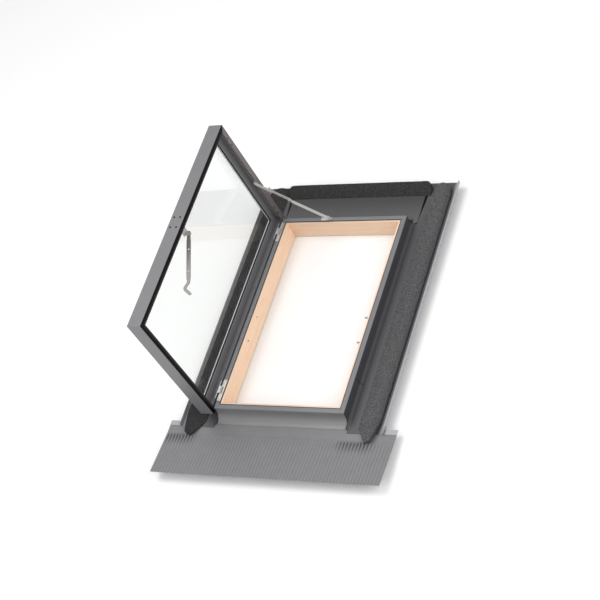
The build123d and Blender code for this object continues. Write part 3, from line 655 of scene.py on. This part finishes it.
def spacer_metal():
    """Dark sealant of the pane's edge, with a bright rolled line along its middle."""
    finish = Finish("pane edge with a bright line")
    streaks = finish.cloud(SPACER_STREAK_SCALE, CLOUD_DETAIL, finish.stretched(SPACER_STREAK))
    low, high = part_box("glass_spacer")
    middle = sash_depth((low[0] + high[0]) / 2, (low[2] + high[2]) / 2)
    on_line = abs(sash_depth(finish.across, finish.height) - middle) < SPACER_LINE_WIDTH / 2
    bright = finish.varied(SPACER_TONE, SPACER_SHARES, streaks)
    finish.coat(Base_Color=finish.between(SEALANT_TONE, bright, on_line))
    finish.coat(Roughness=SPACER_ROUGHNESS + streaks * SPACER_ROUGHNESS_SPREAD)
    return finish


def clear_pane():
    """Float glass: see-through, with a faint mirror over it."""
    finish = Finish("clear float glass")
    film = finish.cloud(GLASS_FILM_SCALE)
    roughness = GLASS_ROUGHNESS + film * GLASS_ROUGHNESS_SPREAD
    finish.coat(Base_Color=GLASS_TONE, Roughness=roughness, Metallic=1.0)
    clear = finish.node("ShaderNodeBsdfTransparent", {}, {"Color": GLASS_TINT})
    veiled = finish.node("ShaderNodeMixShader", {}, {
        0: GLASS_MIRROR_SHARE + film * GLASS_MIRROR_SPREAD,
        1: clear,
        2: Wire(finish, finish.shader.outputs[0]),
    })
    finish.put(finish.output.inputs["Surface"], veiled)
    return finish


def pale_floor():
    """Plain studio floor."""
    finish = Finish("pale floor")
    cloud = finish.cloud(FLOOR_CLOUD_SCALE)
    finish.coat(Base_Color=finish.varied(FLOOR_TONE, FLOOR_SHARES, cloud), Roughness=FLOOR_ROUGHNESS)
    return finish


class Growth(Nodes):
    """A geometry tree with named inputs, run on a mesh of points."""

    def __init__(self, name):
        super().__init__(bpy.data.node_groups.new(name, "GeometryNodeTree"))
        self.face = self.tree.interface
        self.face.new_socket("Mesh", in_out="INPUT", socket_type="NodeSocketGeometry")
        self.face.new_socket("Mesh", in_out="OUTPUT", socket_type="NodeSocketGeometry")
        self.entry = self.tree.nodes.new("NodeGroupInput")
        self.exit = self.tree.nodes.new("NodeGroupOutput")
        self.mesh = Wire(self, self.entry.outputs["Mesh"])

    def size(self, name, kind="NodeSocketFloat"):
        """A named input of the tree."""
        self.face.new_socket(name, in_out="INPUT", socket_type=kind)
        return Wire(self, self.entry.outputs[name])

    def vector(self, x=0.0, y=0.0, z=0.0):
        """Vector of three numbers."""
        return self.node("ShaderNodeCombineXYZ", {}, {0: x, 1: y, 2: z})

    def moved(self, mesh, place):
        """A mesh at another place."""
        return self.node("GeometryNodeTransform", {}, {"Geometry": mesh, "Translation": place})

    def joined(self, *meshes):
        """Several meshes as one."""
        gather = self.node("GeometryNodeJoinGeometry", {}, {})
        for mesh in meshes:
            self.put(gather.socket.node.inputs[0], mesh)
        return gather

    def without(self, mesh, cutter):
        """A mesh with another cut out of it."""
        cut = self.node("GeometryNodeMeshBoolean", {"operation": "DIFFERENCE"}, {"Mesh 1": mesh})
        self.put(cut.socket.node.inputs["Mesh 2"], cutter)
        return cut

    def round_bar(self, radius, length):
        """Cylinder that hangs from the origin."""
        bar = self.node("GeometryNodeMeshCylinder", {},
                        {"Vertices": FASTENER_SIDES, "Radius": radius, "Depth": length})
        return self.moved(bar, self.vector(z=length / -2))

    def on_points(self, shape, turn=(0.0, 0.0, 0.0)):
        """A shape at every point, turned."""
        points = self.node("GeometryNodeMeshToPoints", {}, {"Mesh": self.mesh})
        sockets = {"Points": points, "Instance": shape, "Rotation": turn}
        return self.node("GeometryNodeInstanceOnPoints", {}, sockets)

    def finished(self, shape, finish):
        """End the tree in plain geometry with its material."""
        real = self.node("GeometryNodeRealizeInstances", {}, {"Geometry": shape})
        painted = self.node("GeometryNodeSetMaterial", {}, {"Geometry": real, "Material": finish.material})
        self.put(self.exit.inputs["Mesh"], painted)

    def grow(self, points, values):
        """Run the tree on points and return a plain mesh."""
        places = bpy.data.meshes.new("places")
        places.from_pydata([tuple(point) for point in points], [], [])
        carrier = bpy.data.objects.new("carrier", places)
        bpy.context.collection.objects.link(carrier)
        modifier = carrier.modifiers.new("growth", "NODES")
        modifier.node_group = self.tree
        for item in self.face.items_tree:
            if item.in_out == "INPUT" and item.name in values:
                modifier[item.identifier] = values[item.name]
        return taken(carrier)


def taken(carrier):
    """Plain mesh of a carrier's modifiers, with the carrier removed."""
    graph = bpy.context.evaluated_depsgraph_get()
    mesh = bpy.data.meshes.new_from_object(carrier.evaluated_get(graph))
    carrier.modifiers.clear()
    bpy.data.objects.remove(carrier)
    return mesh


def dressed(name, mesh, body, finish, node):
    """Piece that rides on a body in the place of a CAD node."""
    piece = bpy.data.objects.new(name, mesh)
    bpy.context.collection.objects.link(piece)
    mesh.materials.clear()
    mesh.materials.append(finish.material)
    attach(piece, body)
    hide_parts(node)
    return piece


def fuller_ends(body):
    """Draw a side wedge up to the head wedge, and keep its outer edge straight almost to the tip."""
    top = max(vertex.co.y for vertex in body.verts)
    tip = min(vertex.co.y for vertex in body.verts)
    inner = min(abs(vertex.co.x) for vertex in body.verts)
    outer = max(abs(vertex.co.x) for vertex in body.verts)
    for vertex in body.verts:
        from_tip = vertex.co.y - tip
        plain = outer - inner - FOAM_TIP_SETBACK * max(0.0, 1.0 - from_tip / FOAM_TAPER)
        full = outer - inner - FOAM_TIP_SETBACK * max(0.0, 1.0 - from_tip / FOAM_TIP_TAPER)
        across = inner + (abs(vertex.co.x) - inner) * full / plain
        vertex.co.x = math.copysign(min(across, outer), vertex.co.x)
        share = max(0.0, 1.0 - (top - vertex.co.y) / FOAM_TOP_STRETCH)
        vertex.co.y += FOAM_TOP_REACH * share


def round_shoulder(body):
    """Let the outer edge of a side wedge fall away in a curve."""
    outer = max(abs(vertex.co.x) for vertex in body.verts)
    base = min(vertex.co.z for vertex in body.verts)
    crest = max(vertex.co.z for vertex in body.verts)
    for vertex in body.verts:
        share = max(0.0, 1.0 - (outer - abs(vertex.co.x)) / FOAM_SHOULDER_WIDTH)
        ceiling = base + (crest - base) * (1.0 - FOAM_SHOULDER_FALL * share * share)
        vertex.co.z = min(vertex.co.z, ceiling)


def foam_wedge(node, finish):
    """Soft foam in the space of its plain solid, with edges that are worn round."""
    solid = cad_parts[node].data
    faces = [tuple(face.vertices) for face in solid.polygons]
    mesh = bpy.data.meshes.new(f"{node}_wedge")
    mesh.from_pydata([tuple(vertex.co) for vertex in solid.vertices], [], faces)
    body = bmesh.new()
    body.from_mesh(mesh)
    bmesh.ops.remove_doubles(body, verts=body.verts, dist=MERGE_DISTANCE)
    for _ in range(FOAM_DIVISIONS):
        long_edges = [edge for edge in body.edges if edge.calc_length() > FOAM_MESH_SIZE]
        bmesh.ops.subdivide_edges(body, edges=long_edges, cuts=1)
        bmesh.ops.triangulate(body, faces=body.faces)
    if node != "foam_head":
        fuller_ends(body)
    bmesh.ops.smooth_vert(body, verts=body.verts, factor=FOAM_SMOOTH_SHARE,
                          use_axis_x=True, use_axis_y=True, use_axis_z=True)
    body.normal_update()
    if node != "foam_head":
        round_shoulder(body)
    for vertex in body.verts:
        sink = FOAM_LUMP * (1.0 + noise.noise(vertex.co * FOAM_LUMP_SCALE))
        vertex.co -= vertex.normal * sink
    for face in body.faces:
        face.smooth = True
    body.to_mesh(mesh)
    body.free()
    piece = dressed(f"{node}_wedge", mesh, "frame", finish, node)


def pleated_sheet(finish):
    """Sheet with pleats that are gathered at their upper end, and rise with the tiles below."""
    growth = Growth("pleated sheet")
    width = growth.size("Width")
    length = growth.size("Length")
    depth = growth.size("Depth")
    rise = growth.size("Rise")
    strip = growth.size("Strip")
    sheet = growth.size("Sheet")
    grid = growth.node("GeometryNodeMeshGrid", {}, {
        "Size X": width, "Size Y": length,
        "Vertices X": PLEAT_COUNT * PLEAT_COLUMNS_EACH + 1, "Vertices Y": PLEAT_ROWS,
    })
    across, along = growth.parts(growth.node("GeometryNodeInputPosition", {}, {}))[:2]
    below = length / 2 - along - strip
    onset = growth.eased(below, 0.0, PLEAT_ONSET)
    wave = pleat_wave(across, width)
    ramped = below / (length - strip) * (below > 0.0)
    swell = pleat_gather(growth, across, below, width) * (1.0 - PLEAT_FLAT_SHARE) + PLEAT_FLAT_SHARE
    lift = wave * onset * swell * depth / 2 + rise * ramped
    shaped = growth.node("GeometryNodeSetPosition", {}, {
        "Geometry": grid, "Position": growth.vector(across, along, lift),
    })
    thick = growth.node("GeometryNodeExtrudeMesh", {}, {
        "Mesh": shaped, "Offset": growth.vector(z=1.0), "Offset Scale": sheet, "Individual": False,
    })
    under = growth.node("GeometryNodeFlipFaces", {}, {"Mesh": shaped})
    closed = growth.node("GeometryNodeMergeByDistance", {}, {
        "Geometry": growth.joined(thick, under), "Distance": MERGE_DISTANCE,
    })
    growth.finished(growth.on_points(closed), finish)
    return growth


def box_mesh(body, low, high):
    """Add a box between two corners to a mesh under construction."""
    sides = Matrix.Diagonal((*(Vector(high) - Vector(low)), 1.0))
    middle = Matrix.Translation((Vector(low) + Vector(high)) / 2)
    bmesh.ops.create_cube(body, size=1.0, matrix=middle @ sides)


def apron(finish):
    """Flat strip and hems, with the pleated sheet below them."""
    low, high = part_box("apron")
    gutter_low, gutter_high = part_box("side_flashing_right")
    level = gutter_low[2]
    under = level - SHEET_THICKNESS
    fold = gutter_low[1] + APRON_CORNER_GAP
    length = fold - low[1]
    hem = gutter_high[0] + APRON_HEM_GAP
    values = {
        "Width": high[0] - low[0], "Length": length, "Depth": PLEAT_DEPTH, "Rise": APRON_RISE,
        "Strip": APRON_STRIP_LENGTH, "Sheet": SHEET_THICKNESS,
    }
    sheet = pleated_sheet(finish).grow([(0.0, low[1] + length / 2, under)], values)
    body = bmesh.new()
    body.from_mesh(sheet)
    box_mesh(body, (-hem, fold, under), (hem, high[1], level))
    for left, right in ((-high[0], -hem), (hem, high[0])):
        box_mesh(body, (left, fold, under), (right, fold + APRON_HEM_WIDTH, level + SHEET_THICKNESS))
    body.to_mesh(sheet)
    body.free()
    dressed("apron_sheet", sheet, "frame", finish, "apron")


def cross_screws(finish):
    """Pan-head screws with a cross recess."""
    growth = Growth("cross recess screws")
    radius = growth.size("Head Radius")
    height = growth.size("Head Height")
    head = growth.node("GeometryNodeMeshCone", {}, {
        "Vertices": FASTENER_SIDES, "Radius Top": radius * HEAD_TOP_SHARE, "Radius Bottom": radius,
        "Depth": height,
    })
    long_side = radius * RECESS_LENGTH_SHARE
    short_side = radius * RECESS_WIDTH_SHARE
    deep = height * RECESS_DEPTH_SHARE
    for sides in ((long_side, short_side), (short_side, long_side)):
        bar = growth.node("GeometryNodeMeshCube", {}, {"Size": growth.vector(*sides, deep)})
        head = growth.without(head, growth.moved(bar, growth.vector(z=height)))
    shank = growth.round_bar(growth.size("Shank Radius"), growth.size("Shank Length"))
    growth.finished(growth.on_points(growth.joined(head, shank)), finish)
    return growth


def domed_rivets(finish):
    """Rivets with low domed heads."""
    growth = Growth("domed rivets")
    radius = growth.size("Head Radius")
    height = growth.size("Head Height")
    ball = growth.node("GeometryNodeMeshUVSphere", {},
                       {"Segments": FASTENER_SIDES, "Rings": DOME_RINGS, "Radius": 1.0})
    dome = growth.node("GeometryNodeTransform", {},
                       {"Geometry": ball, "Scale": growth.vector(radius, radius, height)})
    shank = growth.round_bar(growth.size("Shank Radius"), growth.size("Shank Length"))
    turn = growth.size("Turn", "NodeSocketRotation")
    growth.finished(growth.on_points(growth.joined(dome, shank), turn), finish)
    return growth


def handle_rivets(finish):
    """Rivets through the outer face of the opening stile."""
    low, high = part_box("handle_rivets")
    # The open sash stands a little past upright, so its outer face leans.
    lean = math.tan(OPEN_ANGLE - math.pi / 2)
    inner = high[0] - RIVET_EDGE
    seat = high[2] - RIVET_HEAD_HEIGHT - RIVET_EDGE * lean
    places = []
    for across in (low[0] + RIVET_EDGE, inner):
        for along in (low[1] + RIVET_EDGE, high[1] - RIVET_EDGE):
            places.append((across, along, seat - (inner - across) * lean))
    values = {
        "Head Radius": RIVET_HEAD_RADIUS, "Head Height": RIVET_HEAD_HEIGHT, "Shank Radius": RIVET_RADIUS,
        "Shank Length": RIVET_LENGTH, "Turn": (0.0, math.pi / 2 - OPEN_ANGLE, 0.0),
    }
    mesh = domed_rivets(finish).grow(places, values)
    dressed("handle_rivets_domed", mesh, "sash", finish, "handle_rivets")


def place_screws(node, growth, places, seat, finish):
    """Screws at the given places across the frame, in the place of a node of plain ones."""
    values = {
        "Head Radius": SCREW_HEAD_RADIUS, "Head Height": SCREW_HEAD_HEIGHT, "Shank Radius": SCREW_RADIUS,
        "Shank Length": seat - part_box(node)[0][2],
    }
    mesh = growth.grow([(x, y, seat) for x, y in places], values)
    dressed(f"{node}_cross", mesh, "frame", finish, node)


def frame_screws(finish):
    """Screws of the frame's hinge leaves and of the stay bracket."""
    growth = cross_screws(finish)
    low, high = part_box("hinge_frame_screws")
    middle = (low[0] + high[0]) / 2
    leaves = [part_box("hinge_frame_leaf_upper"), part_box("hinge_frame_leaf_lower")]
    places = [(middle, leaf[0][1] + SCREW_END_INSET) for leaf in leaves]
    places += [(middle, leaf[1][1] - SCREW_END_INSET) for leaf in leaves]
    place_screws("hinge_frame_screws", growth, places, high[2] - SCREW_HEAD_HEIGHT, finish)
    low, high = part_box("stay_bracket_screws")
    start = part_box("stay_frame_bracket")[0][0]
    places = [(start + place, (low[1] + high[1]) / 2) for place in STAY_SCREW_PLACES]
    place_screws("stay_bracket_screws", growth, places, high[2] - SCREW_HEAD_HEIGHT, finish)


def dress_nodes(finishes):
    """Give every CAD node its finish."""
    for name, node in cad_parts.items():
        node.data.materials.clear()
        node.data.materials.append(finishes[finish_of(name)].material)


def finish_of(name):
    """Which finish a CAD node takes, by its name."""
    exact = {
        "frame_head": "pine across, in painted shade", "frame_sill": "pine across, in painted shade", "frame_jamb_left": "pine along",
        "frame_jamb_right": "pine along", "sash_rail_top": "sash rail", "handle_rivets": "rivet",
        "handle_bar": "handle", "catch_pins": "handle", "glass_spacer": "spacer", "apron": "apron",
        "head_cover": "head cover", "sill_cover": "sill cover", "foam_head": "foam in painted shade",
        "foam_left": "foam in painted shade",
    }
    if name in exact:
        return exact[name]
    if "gasket" in name:
        return "rubber"
    starts = {
        "rim": "cap", "sash": "sash", "side_flashing": "gutter", "foam": "foam", "pane": "glass",
        "side_cover": "side cover", "corner_cover": "corner cover",
    }
    for start, finish in starts.items():
        if name.startswith(start):
            return finish
    return "steel"


def studio():
    """Floor, lights and world."""
    half = FLOOR_HALF_WIDTH
    level = cad_box[0][2] - FLOOR_GAP
    corners = [(-half, -half, level), (half, -half, level), (half, half, level), (-half, half, level)]
    mesh = bpy.data.meshes.new("floor")
    mesh.from_pydata(corners, [], [(0, 1, 2, 3)])
    mesh.materials.append(pale_floor().material)
    floor = bpy.data.objects.new("floor", mesh)
    bpy.context.collection.objects.link(floor)
    for name, light in LIGHTS.items():
        data = bpy.data.lights.new(name, "AREA")
        data.size = light["width"]
        data.energy = light["power"]
        lamp = bpy.data.objects.new(name, data)
        lamp.location = light["place"]
        lamp.rotation_euler = (-Vector(light["place"])).to_track_quat("-Z", "Y").to_euler()
        bpy.context.collection.objects.link(lamp)
    world = bpy.data.worlds.new("studio")
    world.use_nodes = True
    sky = world.node_tree.nodes["Background"]
    sky.inputs["Color"].default_value = (*WHITE, 1.0)
    sky.inputs["Strength"].default_value = WORLD_STRENGTH
    bpy.context.scene.world = world
    bpy.context.scene.view_settings.view_transform = "Standard"


def camera():
    """Camera at the photograph's place."""
    data = bpy.data.cameras.new("camera")
    data.lens = LENS_MM
    data.sensor_width = SENSOR_MM
    viewer = bpy.data.objects.new("camera", data)
    turn = Matrix((CAMERA_RIGHT, CAMERA_UP, CAMERA_BACK)).transposed()
    viewer.matrix_world = Matrix.Translation(CAMERA_PLACE) @ turn.to_4x4()
    bpy.context.collection.objects.link(viewer)
    bpy.context.scene.camera = viewer


camera()
studio()
finishes = {
    "cap": coated_sheet("cap coating", CAP_TONE, CAP_ROUGHNESS),
    "sash": sash_coating(),
    "sash rail": rail_coating(),
    "head cover": head_sheet(),
    # Side and corner covers in painted shade, the sill cover in painted light, all of one cover paint
    "corner cover": coated_sheet("corner cover coating", SIDE_COVER_PAINTED_SHADE_TONE, COVER_ROUGHNESS),
    "side cover": cover_sheet("side cover coating", SIDE_COVER_PAINTED_SHADE_TONE,
                              lambda finish: finish.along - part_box("side_cover_right")[0][1]),
    "sill cover": cover_sheet("sill cover coating", SILL_COVER_PAINTED_LIGHT_TONE,
                              lambda finish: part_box("sill_cover")[1][0] - abs(finish.across)),
    "gutter": gutter_sheet(),
    "apron": apron_sheet(),
    # The boards with grain across take a darker copy of the pine as painted shade
    "pine across, in painted shade": pine("pine with grain across", GRAIN_ACROSS, PINE_PAINTED_SHADE_SHARE),
    "pine along": pine("pine with grain along", GRAIN_ALONG),
    "foam": open_foam("charcoal open foam"),
    # The head and left wedges take a darker copy of the foam as painted shade
    "foam in painted shade": open_foam("charcoal open foam, darker", FOAM_PAINTED_SHADE_SHARE),
    "steel": plated_steel("zinc plated steel", STEEL_TONE, STEEL_METALLIC),
    "handle": plated_steel("dulled steel of the handle", HANDLE_TONE, HANDLE_METALLIC),
    "rivet": dark_rivet(),
    "rubber": black_rubber(),
    "spacer": spacer_metal(),
    "glass": clear_pane(),
}
dress_nodes(finishes)
for wedge in ("foam_head", "foam_left", "foam_right"):
    foam_wedge(wedge, finishes[finish_of(wedge)])
apron(finishes["apron"])
frame_screws(finishes["steel"])
handle_rivets(finishes["rivet"])
